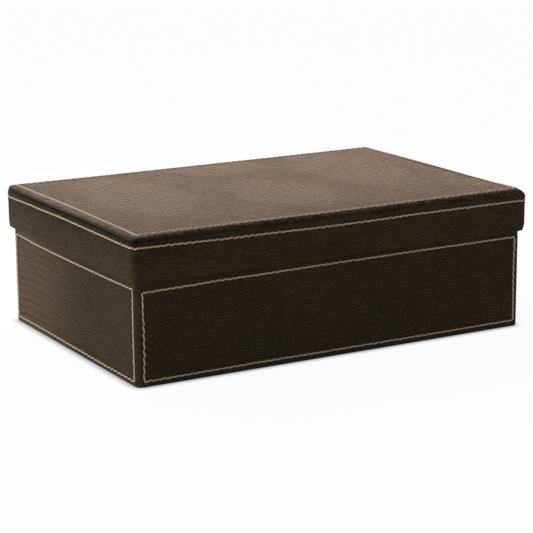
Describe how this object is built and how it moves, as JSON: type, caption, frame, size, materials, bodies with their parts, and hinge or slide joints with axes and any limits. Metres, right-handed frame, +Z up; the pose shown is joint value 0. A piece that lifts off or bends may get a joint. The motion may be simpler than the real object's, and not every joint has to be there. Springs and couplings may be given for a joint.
{
  "type": "stationery box",
  "caption": "Rectangular rigid box for paper and keepsakes, wrapped in dark brown lizard-grain faux leather with contrast stitching, with a lift-off lid whose top has a rolled edge.",
  "frame": {"origin": "middle of the underside, on the surface the box stands on", "axes": "X along the length, Y from the front to the back, Z up"},
  "size_m": [0.3428, 0.2308, 0.1113],
  "materials": {
    "wall_leather": "semi-matt faux leather, embossed with a fine lizard grain",
    "lid_top_leather": "the same embossed faux leather over thin foam, with a soft sheen",
    "stitch_thread": "waxed beige sewing thread",
    "inside_lining": "short-pile dark brown flocked lining",
    "greyboard": "raw greyboard",
    "pad_foam": "thin open-cell foam",
    "base_sheet": "matt dark bookbinding paper"
  },
  "bodies": {
    "body": {"base_sheet": "base_sheet", "body_base_board": "greyboard", "body_front_board": "greyboard", "body_back_board": "greyboard", "body_left_board": "greyboard", "body_right_board": "greyboard", "body_wrap": "wall_leather", "body_floor_lining": "inside_lining", "body_front_lining": "inside_lining", "body_back_lining": "inside_lining", "body_left_lining": "inside_lining", "body_right_lining": "inside_lining", "body_front_stitching": "stitch_thread", "body_back_stitching": "stitch_thread", "body_left_stitching": "stitch_thread", "body_right_stitching": "stitch_thread"},
    "lid": {"lid_top_board": "greyboard", "lid_front_board": "greyboard", "lid_back_board": "greyboard", "lid_left_board": "greyboard", "lid_right_board": "greyboard", "lid_wall_wrap": "wall_leather", "lid_top_pad": "pad_foam", "lid_top_cover": "lid_top_leather", "lid_top_lining": "inside_lining", "lid_front_lining": "inside_lining", "lid_back_lining": "inside_lining", "lid_left_lining": "inside_lining", "lid_right_lining": "inside_lining", "lid_top_stitching": "stitch_thread", "lid_wall_stitching": "stitch_thread"}
  },
  "joints": [
    {"name": "lid_lift", "type": "slide", "parent": "body", "child": "lid", "axis": [0, 0, 1], "range_m": [0, 0.09]}
  ]
}
